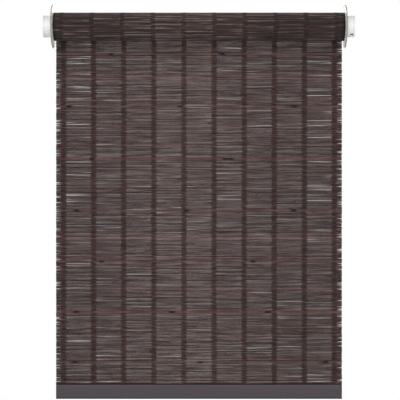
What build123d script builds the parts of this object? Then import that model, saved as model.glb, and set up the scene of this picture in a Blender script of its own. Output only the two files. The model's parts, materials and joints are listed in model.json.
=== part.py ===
from build123d import *
import os
from math import cos, pi, sin
from random import Random

# A reed blind on a chain-driven roller, in millimetres. X runs along the roller from the idle end
# to the drive end, Y points at the window, and Z is up. The origin is the centre of the idle end's
# bracket socket, at the outer face of its hub.

# The mat of reeds
mat_width = 600.0
axis_to_rail_base = 778.6
reed_pitch = 8.0
reed_thickness = 2.0
reed_valley = 0.6
reed_bevel = 1.2
slat_height = 5.5
first_slat_drop = 54.0
slat_spacing = 108.0
slat_drift = 5.0

# Warp bands that tie the reeds together
band_count = 10
band_width = 9.0
band_edge_margin = 15.2
band_thickness = 0.25

# Slits where two reeds stand apart, and ends that splay at the mat's edges
slit_height = 0.8
slit_shortest = 14.0
slit_longest = 40.0
slit_band_margin = 2.5
slits_in_outer_bay = 6
slits_in_inner_bay = 3
splayed_ends_per_edge = 9
splay_length = 9.0

# Roller
tube_diameter = 43.0
tube_wall = 1.2
turns_on_tube = 2.5
channel_mouth = 3.0
channel_width = 7.0
channel_depth = 3.4
tongue_thickness = 1.2
strip_thickness = 2.5

# Side discs and hubs
disc_diameter = 90.0
disc_thickness = 2.0
disc_to_mat_gap = 2.5
hub_diameter = 45.0
hub_length = 18.5
hub_wall = 2.0
hub_end_wall = 2.5
hub_to_disc_gap = 0.5
hub_rib_count = 6
hub_rib_thickness = 1.6
hub_rib_length = 9.0
rib_root = 0.8

# Bracket sockets in the pins that the roller turns on
socket_radius = 4.0
socket_depth = 12.0
socket_key_width = 2.4
socket_key_reach = 5.6
socket_key_depth = 4.0
pin_head_radius = 7.0
pin_radius = 5.0
pin_tail = 4.0
idle_head_length = 14.0
lug_width = 4.0
lug_reach = 9.0

# Chain wheel
chain_pitch = 6.0
pocket_radius = 2.4
pocket_count = 12
pocket_sides = 6
wheel_flange_rise = 2.7
wheel_flange_thickness = 1.5
wheel_groove_width = 6.0
wheel_tooth_rise = 1.7
wheel_sleeve_radius = 9.0
wheel_sleeve_length = 12.0
wheel_spline_count = 4
wheel_spline_width = 2.0
wheel_spline_rise = 0.8
chain_slot_width = 6.0

# Plugs in the tube's ends, and the wrap spring
plug_neck_radius = 11.0
plug_neck_length = 5.5
plug_flange_thickness = 2.0
plug_rib_count = 6
plug_rib_thickness = 2.0
drive_plug_depth = 55.0
idle_plug_depth = 50.0
spring_wire = 1.8
spring_pitch = 2.8
spring_turns = 6
spring_sides = 12
wire_sides = 6
spring_end_room = 0.6

# Clips on the pins' tails
clip_gap = 0.3
clip_thickness = 1.2
clip_reach = 8.0

# Bottom rail
rail_height = 30.0
rail_depth = 12.0
rail_wall = 1.2
rail_corner_chamfer = 0.8
rail_pocket_depth = 9.0
mat_reach_into_rail = 8.0
clamp_height = 7.0
clamp_thickness = 2.4
cap_thickness = 2.0
cap_peg_length = 10.0

# Clearances
running_fit = 0.05
spring_gap = 0.3
seat_gap = 0.1
slot_clearance = 0.3
wheel_side_gap = 0.3
cut_margin = 1.0

# Places along X
disc_outer_face = hub_length + hub_to_disc_gap
tube_end = disc_outer_face + disc_thickness
mat_edge = tube_end + disc_to_mat_gap
overall_width = mat_width + 2 * mat_edge
tube_length = overall_width - 2 * tube_end
wheel_start = hub_end_wall + wheel_side_gap
wheel_width = wheel_groove_width + 2 * wheel_flange_thickness
wheel_middle = wheel_start + wheel_width / 2
sleeve_end = wheel_start + wheel_width + wheel_sleeve_length
plug_start = tube_end - plug_neck_length
spring_chamber_start = sleeve_end + seat_gap
drive_plug_end = tube_end + drive_plug_depth
spring_chamber_end = spring_chamber_start + spring_pitch * spring_turns + spring_wire + 2 * spring_end_room
idle_plug_end = tube_end + idle_plug_depth

# Radii round the roller's axis
tube_radius = tube_diameter / 2
tube_bore = tube_radius - tube_wall
hub_radius = hub_diameter / 2
hub_bore = hub_radius - hub_wall
turn_pitch = reed_thickness + 2 * band_thickness
mat_outer_radius = tube_radius + band_thickness + reed_thickness + turn_pitch * turns_on_tube
chain_radius = chain_pitch * pocket_count / (2 * pi)
wheel_radius = chain_radius + wheel_flange_rise
spring_bore = pin_radius + spring_gap
plug_radius = tube_bore - seat_gap

# Heights and depths of the hanging mat and its rail
mat_back = mat_outer_radius
mat_front = mat_back - reed_thickness
mat_middle = (mat_front + mat_back) / 2
rail_base = -axis_to_rail_base
rail_top = rail_base + rail_height
mat_foot = rail_top - mat_reach_into_rail
slot_front = mat_front - band_thickness - slot_clearance
slot_back = mat_back + band_thickness + slot_clearance

os.makedirs("parts", exist_ok=True)


def place(end, distance):
    """X of a point that lies a distance inward from the outer face of one end's hub."""
    return distance if end == "idle" else overall_width - distance


def turned(end, corners, mode=Mode.ADD):
    """Turns a closed profile of (distance inward, radius) corners round the roller's axis."""
    with BuildSketch(Plane.XZ) as section:
        with BuildLine():
            Polyline([(place(end, along), radius) for along, radius in corners], close=True)
        make_face()
    revolve(section.sketch, axis=Axis.X, mode=mode)


def ring(end, start, stop, inner, outer, mode=Mode.ADD):
    """A plain ring or hole on the roller's axis between two distances inward."""
    turned(end, [(start, inner), (stop, inner), (stop, outer), (start, outer)], mode)


def block(end, start, stop, middle, sides, mode=Mode.ADD):
    """A block between two distances inward, centred on (y, z) with its own (y, z) sides."""
    centre = (place(end, (start + stop) / 2), middle[0], middle[1])
    with Locations(centre):
        Box(stop - start, sides[0], sides[1], mode=mode)


def save(part, node):
    """Labels a finished piece and writes it under its node's name."""
    part.label = node
    export_step(part, f"parts/{node}.step")


# Hanging mat: one woven wall of ridges, with a broad flat slat at every repeat of the weave

def slat_levels():
    """Middle height of each broad slat, where the weave draws a little together towards the rail."""
    count = int((-rail_top - first_slat_drop) / slat_spacing) + 1
    drift = [slat_drift * sin(pi * index / max(count - 1, 1)) for index in range(count)]
    return [-(first_slat_drop + index * slat_spacing + drift[index]) for index in range(count)]


def ridges_down_the_mat():
    """(top, bottom) of every ridge from the roller to the mat's foot."""
    ridges = []
    top = 0.0
    stretches = [(level + slat_height / 2, True) for level in slat_levels()] + [(mat_foot, False)]
    for bottom, ends_at_slat in stretches:
        reeds = max(1, round((top - bottom) / reed_pitch))
        pitch = (top - bottom) / reeds
        ridges += [(top - index * pitch, top - (index + 1) * pitch) for index in range(reeds)]
        top = bottom
        if ends_at_slat:
            ridges.append((top, top - slat_height))
            top -= slat_height
    return ridges


def ridged_wall_outline(ridges):
    """Closed (y, z) outline of the wall: down its front face and back up its rear face."""
    front = []
    for top, bottom in ridges:
        front.append((mat_front + reed_valley, top))
        front.append((mat_front, top - reed_bevel))
        front.append((mat_front, bottom + reed_bevel))
    front.append((mat_front + reed_valley, ridges[-1][1]))
    back = [(2 * mat_middle - y, z) for y, z in reversed(front)]
    return front + back


def band_centres():
    """X of each warp band's middle."""
    first = mat_edge + band_edge_margin
    step = (mat_width - 2 * band_edge_margin) / (band_count - 1)
    return [first + index * step for index in range(band_count)]


def slits_in_the_weave(ridges):
    """(x, z, length) of each slit between two reeds, kept off the warp bands and the rail."""
    choice = Random(4)
    bands = band_centres()
    clear_valleys = [bottom for top, bottom in ridges[3:] if bottom > rail_top + reed_pitch]
    slits = []
    for bay in range(band_count - 1):
        left = bands[bay] + band_width / 2 + slit_band_margin
        right = bands[bay + 1] - band_width / 2 - slit_band_margin
        is_outer = bay in (0, band_count - 2)
        amount = slits_in_outer_bay if is_outer else slits_in_inner_bay
        for level in choice.sample(clear_valleys, amount):
            length = min(choice.uniform(slit_shortest, slit_longest), right - left)
            middle = choice.uniform(left + length / 2, right - length / 2)
            slits.append((middle, level, length))
    for edge in (mat_edge, mat_edge + mat_width):
        for level in choice.sample(clear_valleys, splayed_ends_per_edge):
            slits.append((edge, level, 2 * splay_length))
    return slits


ridges = ridges_down_the_mat()
with BuildPart() as hanging_mat:
    with BuildSketch(Plane.YZ.offset(mat_edge)):
        with BuildLine():
            Polyline(ridged_wall_outline(ridges), close=True)
        make_face()
    extrude(amount=mat_width)
    with BuildSketch(Plane.XZ.offset(-(mat_back + cut_margin))):
        for x, z, length in slits_in_the_weave(ridges):
            with Locations((x, z)):
                Rectangle(length, slit_height)
    extrude(amount=reed_thickness + 2 * cut_margin, mode=Mode.SUBTRACT)
    trim = cap_thickness + seat_gap
    for trimmed_x in (mat_edge + trim / 2, mat_edge + mat_width - trim / 2):
        with Locations((trimmed_x, mat_middle, (rail_top + mat_foot) / 2)):
            Box(trim, 2 * reed_thickness, rail_top - mat_foot + 2 * seat_gap, mode=Mode.SUBTRACT)
save(hanging_mat.part, "hanging_mat")

# Warp bands: flat woven bands down both faces of the hanging mat, from the roller into the rail
with BuildPart() as warp_bands:
    band_length = -mat_foot
    for x in band_centres():
        for y in (mat_front - band_thickness / 2, mat_back + band_thickness / 2):
            with Locations((x, y, mat_foot / 2)):
                Box(band_width, band_thickness, band_length)
save(warp_bands.part, "warp_bands")


# Wound mat: the same reeds in a spiral on the tube, ending in a tongue that the tube's channel grips

def spiral_outline():
    """Closed (y, z) outline of the spiral, from its outer end behind the roller to its inner end."""
    outer, inner = [], []
    last = 2 * pi * turns_on_tube
    angle = 0.0
    while angle < last:
        crest = mat_outer_radius - turn_pitch * angle / (2 * pi)
        step = min(reed_pitch / crest, last - angle)
        bevel = min(reed_bevel / crest, step / 3)
        outer.append((angle, crest - reed_valley))
        outer.append((angle + bevel, crest - turn_pitch * bevel / (2 * pi)))
        outer.append((angle + step - bevel, crest - turn_pitch * (step - bevel) / (2 * pi)))
        inner.append((angle, crest - reed_thickness))
        angle += step
    end_crest = mat_outer_radius - turn_pitch * turns_on_tube
    outer.append((last, end_crest - reed_valley))
    inner.append((last, end_crest - reed_thickness))
    return [(radius * cos(turn), radius * sin(turn)) for turn, radius in outer + inner[::-1]]


channel_angle = 360 * turns_on_tube % 360
channel_floor = tube_bore - channel_depth
with BuildPart() as wound_mat:
    with BuildSketch(Plane.YZ.offset(mat_edge)):
        with BuildLine():
            Polyline(spiral_outline(), close=True)
        make_face()
        tongue_top = tube_radius + band_thickness + reed_thickness / 2
        tongue_tip = channel_floor + seat_gap + strip_thickness + seat_gap
        with PolarLocations((tongue_top + tongue_tip) / 2, 1, channel_angle):
            Rectangle(tongue_top - tongue_tip, tongue_thickness)
    extrude(amount=mat_width)
save(wound_mat.part, "wound_mat")

# Roller tube: a thin extrusion with a channel let in along one side
with BuildPart() as roller_tube:
    with BuildSketch(Plane.YZ.offset(tube_end)):
        Circle(tube_radius)
        Circle(tube_bore, mode=Mode.SUBTRACT)
        channel_box_top = tube_bore + tube_wall / 2
        channel_box_foot = channel_floor - tube_wall
        with PolarLocations((channel_box_top + channel_box_foot) / 2, 1, channel_angle):
            Rectangle(channel_box_top - channel_box_foot, channel_width + 2 * tube_wall)
        with PolarLocations(channel_floor + channel_depth / 2, 1, channel_angle):
            Rectangle(channel_depth, channel_width, mode=Mode.SUBTRACT)
        with PolarLocations(tube_radius, 1, channel_angle):
            Rectangle(3 * tube_wall, channel_mouth, mode=Mode.SUBTRACT)
    extrude(amount=tube_length)
save(roller_tube.part, "roller_tube")

# Fixing strip: slides into the channel and traps the mat's tongue
with BuildPart() as fixing_strip:
    with BuildSketch(Plane.YZ.offset(mat_edge)):
        with PolarLocations(channel_floor + seat_gap + strip_thickness / 2, 1, channel_angle):
            Rectangle(strip_thickness, channel_width - 2 * seat_gap)
    extrude(amount=mat_width)
save(fixing_strip.part, "fixing_strip")

# Side discs: clear guides that keep the mat's edges in line, one on each plug's neck
for end in ("idle", "drive"):
    with BuildPart() as side_disc:
        ring(end, disc_outer_face, tube_end, plug_neck_radius + running_fit, disc_diameter / 2)
    save(side_disc.part, f"{end}_disc")


# Hubs: moulded cups, open towards the disc, that hold the pins still in their brackets

def hub_shell(end):
    """The cup of either hub, with the hole and notches that hold its pin."""
    pin_hole = pin_head_radius + running_fit
    turned(
        end,
        [
            (0, pin_hole), (0, hub_radius), (hub_length, hub_radius),
            (hub_length, hub_bore), (hub_end_wall, hub_bore), (hub_end_wall, pin_hole),
        ],
    )
    notch = (2 * (lug_reach + seat_gap), lug_width + 2 * seat_gap)
    block(end, -cut_margin, hub_end_wall, (0, 0), notch, mode=Mode.SUBTRACT)


with BuildPart() as idle_housing:
    hub_shell("idle")
    rib_inner, rib_outer = pin_head_radius + seat_gap, hub_bore + rib_root
    with BuildSketch(Plane.YZ.offset(hub_end_wall)):
        with PolarLocations((rib_inner + rib_outer) / 2, hub_rib_count):
            Rectangle(rib_outer - rib_inner, hub_rib_thickness)
    extrude(amount=hub_rib_length)
save(idle_housing.part, "idle_housing")

with BuildPart() as drive_housing:
    hub_shell("drive")
    for side in (-1, 1):
        slot_start = wheel_middle - chain_slot_width / 2
        slot_foot = -(hub_radius + cut_margin)
        slot_place = (side * chain_radius, slot_foot / 2)
        slot_sides = (chain_slot_width, -slot_foot)
        block("drive", slot_start, slot_start + chain_slot_width, slot_place, slot_sides, mode=Mode.SUBTRACT)
save(drive_housing.part, "drive_housing")


# Pins: fixed in the hubs, each with a keyed socket for its bracket

def end_pin(end, head_length, plug_end):
    """The fixed pin of one end, from the hub's outer face to just past its plug."""
    ring(end, 0, head_length, 0, pin_head_radius)
    ring(end, head_length, plug_end + pin_tail, 0, pin_radius)
    block(end, 0, hub_end_wall, (0, 0), (2 * lug_reach, lug_width))
    ring(end, -cut_margin, socket_depth, 0, socket_radius, mode=Mode.SUBTRACT)
    key = (socket_key_width, 2 * socket_key_reach)
    block(end, -cut_margin, socket_key_depth, (0, 0), key, mode=Mode.SUBTRACT)


with BuildPart() as idle_axle:
    end_pin("idle", idle_head_length, idle_plug_end)
save(idle_axle.part, "idle_axle")

with BuildPart() as drive_spindle:
    end_pin("drive", sleeve_end, drive_plug_end)
save(drive_spindle.part, "drive_spindle")

# Chain wheel: a pocket for every ball of the operating chain, and a splined sleeve into the plug
with BuildPart() as chain_wheel:
    wheel_bore = pin_head_radius + running_fit
    wheel_stop = wheel_start + wheel_width
    ring("drive", wheel_start, wheel_stop, wheel_bore, wheel_radius)
    groove_start = wheel_start + wheel_flange_thickness
    groove_stop = groove_start + wheel_groove_width
    tooth_radius = chain_radius + wheel_tooth_rise
    ring("drive", groove_start, groove_stop, tooth_radius, wheel_radius + cut_margin, mode=Mode.SUBTRACT)
    with BuildSketch(Plane.YZ.offset(place("drive", groove_stop))):
        with PolarLocations(chain_radius, pocket_count):
            RegularPolygon(pocket_radius, pocket_sides)
    extrude(amount=wheel_groove_width, mode=Mode.SUBTRACT)
    ring("drive", wheel_stop, sleeve_end, wheel_bore, wheel_sleeve_radius)
    with BuildSketch(Plane.YZ.offset(place("drive", sleeve_end))):
        with PolarLocations(wheel_sleeve_radius, wheel_spline_count):
            Rectangle(2 * wheel_spline_rise, wheel_spline_width)
    extrude(amount=sleeve_end - plug_start)
save(chain_wheel.part, "chain_wheel")


# Plugs: driven into the tube's ends, with a neck through the disc and ribs against the bore

def plug_body(end, plug_end):
    """Sleeve, end flange and ribs of either plug, clear of the tube's channel."""
    bore = pin_radius + running_fit
    flange_end = tube_end + plug_flange_thickness
    turned(
        end,
        [
            (plug_start, bore), (plug_start, plug_neck_radius), (tube_end, plug_neck_radius),
            (tube_end, plug_radius), (flange_end, plug_radius), (flange_end, plug_neck_radius),
            (plug_end, plug_neck_radius), (plug_end, bore),
        ],
    )
    foot = plug_neck_radius - rib_root
    turn = 360 / plug_rib_count
    with BuildSketch(Plane.YZ.offset(min(place(end, tube_end), place(end, plug_end)))) as ribs:
        with PolarLocations(
            (foot + plug_radius) / 2, plug_rib_count - 1, channel_angle + turn, 360 - 2 * turn, endpoint=True
        ):
            Rectangle(plug_radius - foot, plug_rib_thickness)
    extrude(ribs.sketch, amount=plug_end - tube_end)
    notch_foot = channel_floor - tube_wall - seat_gap
    with BuildSketch(Plane.YZ.offset(min(place(end, tube_end), place(end, flange_end)))) as notch:
        with PolarLocations((notch_foot + tube_radius) / 2, 1, channel_angle):
            Rectangle(tube_radius - notch_foot, channel_width + 2 * (tube_wall + seat_gap))
    extrude(notch.sketch, amount=plug_flange_thickness, mode=Mode.SUBTRACT)


with BuildPart() as drive_plug:
    sleeve_seat = wheel_sleeve_radius + seat_gap
    plug_body("drive", drive_plug_end)
    ring("drive", plug_start, spring_chamber_end, 0, sleeve_seat, mode=Mode.SUBTRACT)
    with BuildSketch(Plane.YZ.offset(place("drive", spring_chamber_start))):
        with PolarLocations(wheel_sleeve_radius, wheel_spline_count):
            Rectangle(2 * (wheel_spline_rise + seat_gap), wheel_spline_width + 2 * seat_gap)
    extrude(amount=spring_chamber_start - plug_start, mode=Mode.SUBTRACT)
save(drive_plug.part, "drive_plug")

with BuildPart() as idle_plug:
    plug_body("idle", idle_plug_end)
save(idle_plug.part, "idle_plug")

# Retaining clips: pushed on the pins' tails, so that the plugs can't slide off
for end, plug_end in (("idle", idle_plug_end), ("drive", drive_plug_end)):
    with BuildPart() as retaining_clip:
        clip_start = plug_end + clip_gap
        with BuildSketch(Plane.YZ.offset(place(end, clip_start))):
            RegularPolygon(clip_reach, 6)
            Circle(pin_radius + running_fit, mode=Mode.SUBTRACT)
        extrude(amount=place(end, clip_start + clip_thickness) - place(end, clip_start))
    save(retaining_clip.part, f"{end}_clip")

# Wrap spring: wire coiled round the spindle inside the drive plug, the clutch that holds the mat.
# Its wire runs in short straight lengths, drawn outside the circle so that the flats keep their gap.
with BuildPart() as wrap_spring:
    wire_middle = (spring_bore + spring_wire / 2) / cos(pi / spring_sides)
    coil_start = place("drive", spring_chamber_start + spring_end_room + spring_wire / 2)
    turns = [step / spring_sides for step in range(spring_turns * spring_sides + 1)]
    with BuildLine() as coil:
        Polyline(
            [
                (
                    coil_start - spring_pitch * turn,
                    wire_middle * cos(2 * pi * turn),
                    wire_middle * sin(2 * pi * turn),
                )
                for turn in turns
            ]
        )
    with BuildSketch(Plane(origin=coil.line @ 0, x_dir=(1, 0, 0), z_dir=coil.line % 0)):
        RegularPolygon(spring_wire / 2, wire_sides)
    sweep(transition=Transition.RIGHT)
save(wrap_spring.part, "wrap_spring")

# Bottom rail: a hollow extrusion whose top slot takes the mat and whose pocket takes the clamp strip
rail_length = mat_width - 2 * cap_thickness
pocket_top = rail_top - rail_wall
pocket_foot = pocket_top - rail_pocket_depth
clamp_front = mat_back + band_thickness + seat_gap
pocket_back = clamp_front + clamp_thickness + seat_gap
rail_front = mat_middle - rail_depth / 2
rail_back = mat_middle + rail_depth / 2
chamber_top = pocket_foot - rail_wall
chamber_foot = rail_base + rail_wall


def span(low, high):
    """Middle and length of the stretch from low to high."""
    return (low + high) / 2, high - low


with BuildPart() as bottom_rail:
    with BuildSketch(Plane.YZ.offset(mat_edge + cap_thickness)) as rail_section:
        with Locations((mat_middle, rail_base + rail_height / 2)):
            Rectangle(rail_depth, rail_height)
        chamfer(rail_section.vertices(), rail_corner_chamfer)
        openings = [
            (span(slot_front, slot_back), span(pocket_top - seat_gap, rail_top + cut_margin)),
            (span(slot_front, pocket_back), span(pocket_foot, pocket_top)),
            (span(rail_front + rail_wall, slot_front - rail_wall), span(pocket_foot, pocket_top)),
            (span(rail_front + rail_wall, rail_back - rail_wall), span(chamber_foot, chamber_top)),
        ]
        for (y, depth), (z, height) in openings:
            with Locations((y, z)):
                Rectangle(depth, height, mode=Mode.SUBTRACT)
    extrude(amount=rail_length)
save(bottom_rail.part, "bottom_rail")

# Clamp strip: pushes the mat's foot against the front of the rail's pocket
with BuildPart() as clamp_strip:
    clamp_top = pocket_top - seat_gap
    with BuildSketch(Plane.YZ.offset(mat_edge + cap_thickness)):
        with Locations((clamp_front + clamp_thickness / 2, clamp_top - clamp_height / 2)):
            Rectangle(clamp_thickness, clamp_height)
    extrude(amount=rail_length)
save(clamp_strip.part, "clamp_strip")

# Rail caps: flat ends with a peg in the rail's lower chamber
for side, plate_x, inward in (("left", mat_edge, 1), ("right", mat_edge + mat_width, -1)):
    with BuildPart() as rail_cap:
        with BuildSketch(Plane.YZ.offset(plate_x)) as cap_outline:
            with Locations((mat_middle, rail_base + rail_height / 2)):
                Rectangle(rail_depth, rail_height)
            chamfer(cap_outline.vertices(), rail_corner_chamfer)
        extrude(amount=inward * cap_thickness)
        with BuildSketch(Plane.YZ.offset(plate_x + inward * cap_thickness)):
            with Locations((mat_middle, (chamber_top + chamber_foot) / 2)):
                peg_depth = rail_depth - 2 * rail_wall - 2 * seat_gap
                Rectangle(peg_depth, chamber_top - chamber_foot - 2 * seat_gap)
        extrude(amount=inward * cap_peg_length)
    save(rail_cap.part, f"rail_cap_{side}")
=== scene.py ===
"""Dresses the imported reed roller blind: its reeds, warp threads, end fittings, rail and studio.

Everything is in metres in the part's own frame: X runs along the roller from the idle end to the
drive end, Y points at the window and Z is up. The roller's axis is the line y = 0, z = 0.
"""

import json
import logging
import math
import random
from dataclasses import dataclass, field
from enum import Enum

import bpy
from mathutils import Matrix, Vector


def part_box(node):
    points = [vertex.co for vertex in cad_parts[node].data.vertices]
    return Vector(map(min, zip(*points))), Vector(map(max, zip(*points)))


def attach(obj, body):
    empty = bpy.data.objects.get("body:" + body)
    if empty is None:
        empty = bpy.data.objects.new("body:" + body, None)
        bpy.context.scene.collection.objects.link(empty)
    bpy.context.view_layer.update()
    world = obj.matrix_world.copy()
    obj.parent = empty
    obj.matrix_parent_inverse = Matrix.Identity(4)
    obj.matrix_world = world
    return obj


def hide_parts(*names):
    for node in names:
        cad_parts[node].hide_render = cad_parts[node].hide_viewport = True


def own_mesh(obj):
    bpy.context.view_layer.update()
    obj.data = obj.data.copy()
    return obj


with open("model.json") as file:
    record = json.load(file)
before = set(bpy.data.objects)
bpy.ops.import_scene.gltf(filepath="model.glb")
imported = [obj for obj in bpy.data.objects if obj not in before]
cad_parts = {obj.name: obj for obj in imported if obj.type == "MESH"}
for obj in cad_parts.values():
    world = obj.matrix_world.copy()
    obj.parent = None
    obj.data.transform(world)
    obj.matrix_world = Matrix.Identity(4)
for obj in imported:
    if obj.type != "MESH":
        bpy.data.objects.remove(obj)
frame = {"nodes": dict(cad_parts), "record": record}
log = logging.getLogger("reed_blind")

MM = 0.001
TURN_PITCH = 2.5 * MM
TURNS_ON_TUBE = 2.5

Point = tuple[float, float, float]
Colour = tuple[float, float, float, float]


def linear(hex_colour: str) -> Colour:
    """Turns an sRGB hex colour into the linear colour that shaders take.

    Args:
        hex_colour: six hex digits after a hash.

    Returns:
        Linear red, green, blue and an alpha of 1.
    """
    channels = [int(hex_colour[start:start + 2], 16) / 255 for start in (1, 3, 5)]
    straight = [value / 12.92 if value <= 0.04045 else ((value + 0.055) / 1.055) ** 2.4 for value in channels]
    return (straight[0], straight[1], straight[2], 1.0)


def set_inputs(tree: bpy.types.NodeTree, node: bpy.types.Node, inputs: dict) -> None:
    """Sets a node's inputs, or links them to other nodes' outputs.

    Args:
        tree: the node tree.
        node: one of its nodes.
        inputs: input sockets by name or number, each a value or the output socket to link.
    """
    for key, value in inputs.items():
        if isinstance(value, bpy.types.NodeSocket):
            tree.links.new(value, node.inputs[key])
        else:
            node.inputs[key].default_value = value


def add_node(
    tree: bpy.types.NodeTree, kind: str, settings: dict | None = None, inputs: dict | None = None
) -> bpy.types.Node:
    """Adds a shader node.

    Args:
        tree: the node tree that gets it.
        kind: the node's type name.
        settings: the node's own properties by name.
        inputs: what set_inputs gives it.

    Returns:
        The new node.
    """
    node = tree.nodes.new(kind)
    for name, value in (settings or {}).items():
        setattr(node, name, value)
    set_inputs(tree, node, inputs or {})
    return node


def set_ramp(node: bpy.types.Node, stops: list[tuple[float, str]]) -> None:
    """Gives a colour ramp its stops.

    Args:
        node: the colour ramp.
        stops: a place from 0 to 1 and a hex colour for each stop, in order.
    """
    elements = node.color_ramp.elements
    while len(elements) < len(stops):
        elements.new(0.5)
    for element, (place, colour) in zip(elements, stops):
        element.position = place
        element.color = linear(colour)


@dataclass(frozen=True)
class Finish:
    """A surface finish. Each kind of material fills in its own shader."""

    name: str
    slot: str

    def shade(self, tree: bpy.types.NodeTree, surface: bpy.types.Node) -> None:
        """Fills in the shader; each kind of finish has its own.

        Args:
            tree: the material's node tree.
            surface: its principled shader.
        """
        raise NotImplementedError

    def material(self) -> bpy.types.Material:
        """Makes the finish's material once, and shares it after that.

        Returns:
            The material.
        """
        found = bpy.data.materials.get(self.name)
        if found:
            return found
        made = bpy.data.materials.new(self.name)
        made.use_nodes = True
        self.shade(made.node_tree, made.node_tree.nodes["Principled BSDF"])
        return made

    def dress(self, piece: bpy.types.Object) -> bpy.types.Object:
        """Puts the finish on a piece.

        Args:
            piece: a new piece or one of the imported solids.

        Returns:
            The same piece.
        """
        piece.data.materials.clear()
        piece.data.materials.append(self.material())
        return piece


def streaks(
    tree: bpy.types.NodeTree, along_mm: float, across_mm: float, detail: float = 3.0
) -> bpy.types.Node:
    """Adds noise that is drawn out along X, like the fibres of a reed or the marks of a die.

    Args:
        tree: the node tree that gets it.
        along_mm: length of a streak.
        across_mm: width of a streak.
        detail: the noise's octaves.

    Returns:
        The noise node.
    """
    place = add_node(tree, "ShaderNodeTexCoord")
    scale = (1 / (along_mm * MM), 1 / (across_mm * MM), 1 / (across_mm * MM))
    stretched = add_node(tree, "ShaderNodeMapping", {}, {"Vector": place.outputs["Object"], "Scale": scale})
    return add_node(
        tree, "ShaderNodeTexNoise", {},
        {"Vector": stretched.outputs["Vector"], "Scale": 1.0, "Detail": detail, "Roughness": 0.6},
    )


def grains(tree: bpy.types.NodeTree, grain_mm: float, detail: float = 2.0) -> bpy.types.Node:
    """Adds even noise.

    Args:
        tree: the node tree that gets it.
        grain_mm: size of a grain.
        detail: the noise's octaves.

    Returns:
        The noise node.
    """
    place = add_node(tree, "ShaderNodeTexCoord")
    return add_node(
        tree, "ShaderNodeTexNoise", {},
        {
            "Vector": place.outputs["Object"],
            "Scale": 1 / (grain_mm * MM),
            "Detail": detail,
            "Roughness": 0.55,
        },
    )


@dataclass(frozen=True)
class StainedReed(Finish):
    """Split bamboo, dyed dark brown and brushed.

    The eye sees a satin skin with drawn-out fibres, and tones and casts that differ reed by reed. Real
    fibres are about 0.3 mm wide, too fine to show, so they are drawn about four times as coarse.
    """

    name: str = "split_bamboo_dyed_brown"
    slot: str = "reed"
    fibre_length_mm: float = 17.0
    fibre_width_mm: float = 1.25
    dark: str = "#1b1414"
    middle: str = "#41302f"
    light: str = "#736661"
    red: str = "#7a4f49"
    green: str = "#4c4b47"
    knot: str = "#0e0808"
    fibre_contrast: float = 0.28
    green_most: float = 0.3
    red_depth: float = 0.35
    roughness: float = 0.58
    gloss: float = 0.2
    relief: float = 0.25
    relief_mm: float = 0.1

    def shade(self, tree: bpy.types.NodeTree, surface: bpy.types.Node) -> None:
        """Mixes the reed's own tone with fibre streaks, then its red or green cast and its knots.

        Args:
            tree: the material's node tree.
            surface: its principled shader.
        """
        tone = add_node(tree, "ShaderNodeAttribute", {"attribute_name": "tone"})
        blush = add_node(tree, "ShaderNodeAttribute", {"attribute_name": "blush"})
        knot = add_node(tree, "ShaderNodeAttribute", {"attribute_name": "knot"})
        fibres = streaks(tree, self.fibre_length_mm, self.fibre_width_mm)
        spread = add_node(
            tree, "ShaderNodeMapRange", {},
            {
                "Value": fibres.outputs["Fac"],
                "From Min": 0.3,
                "From Max": 0.7,
                "To Min": -self.fibre_contrast,
                "To Max": self.fibre_contrast,
            },
        )
        lit = add_node(
            tree, "ShaderNodeMath", {"operation": "ADD", "use_clamp": True},
            {0: tone.outputs["Fac"], 1: spread.outputs["Result"]},
        )
        stain = add_node(tree, "ShaderNodeValToRGB", {}, {"Fac": lit.outputs["Value"]})
        set_ramp(stain, [(0.0, self.dark), (0.5, self.middle), (1.0, self.light)])
        redness = add_node(
            tree, "ShaderNodeMapRange", {}, {"Value": blush.outputs["Fac"], "From Min": 0.5, "From Max": 1.0}
        )
        greenness = add_node(
            tree, "ShaderNodeMapRange", {},
            {"Value": blush.outputs["Fac"], "From Min": 0.5, "From Max": 0.0, "To Max": self.green_most},
        )
        with_green = add_node(
            tree, "ShaderNodeMix", {"data_type": "RGBA"},
            {"Factor": greenness.outputs["Result"], 6: stain.outputs["Color"], 7: linear(self.green)},
        )
        red_shade = add_node(
            tree, "ShaderNodeMix", {"data_type": "RGBA", "blend_type": "MULTIPLY"},
            {"Factor": self.red_depth, 6: linear(self.red), 7: stain.outputs["Color"]},
        )
        with_red = add_node(
            tree, "ShaderNodeMix", {"data_type": "RGBA"},
            {"Factor": redness.outputs["Result"], 6: with_green.outputs[2], 7: red_shade.outputs[2]},
        )
        with_knots = add_node(
            tree, "ShaderNodeMix", {"data_type": "RGBA"},
            {"Factor": knot.outputs["Fac"], 6: with_red.outputs[2], 7: linear(self.knot)},
        )
        relief = add_node(
            tree, "ShaderNodeBump", {},
            {"Height": fibres.outputs["Fac"], "Strength": self.relief, "Distance": self.relief_mm * MM},
        )
        set_inputs(tree, surface, {
            "Base Color": with_knots.outputs[2],
            "Normal": relief.outputs["Normal"],
            "Roughness": self.roughness,
            "IOR": 1.5,
            "Specular IOR Level": self.gloss,
        })


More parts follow.
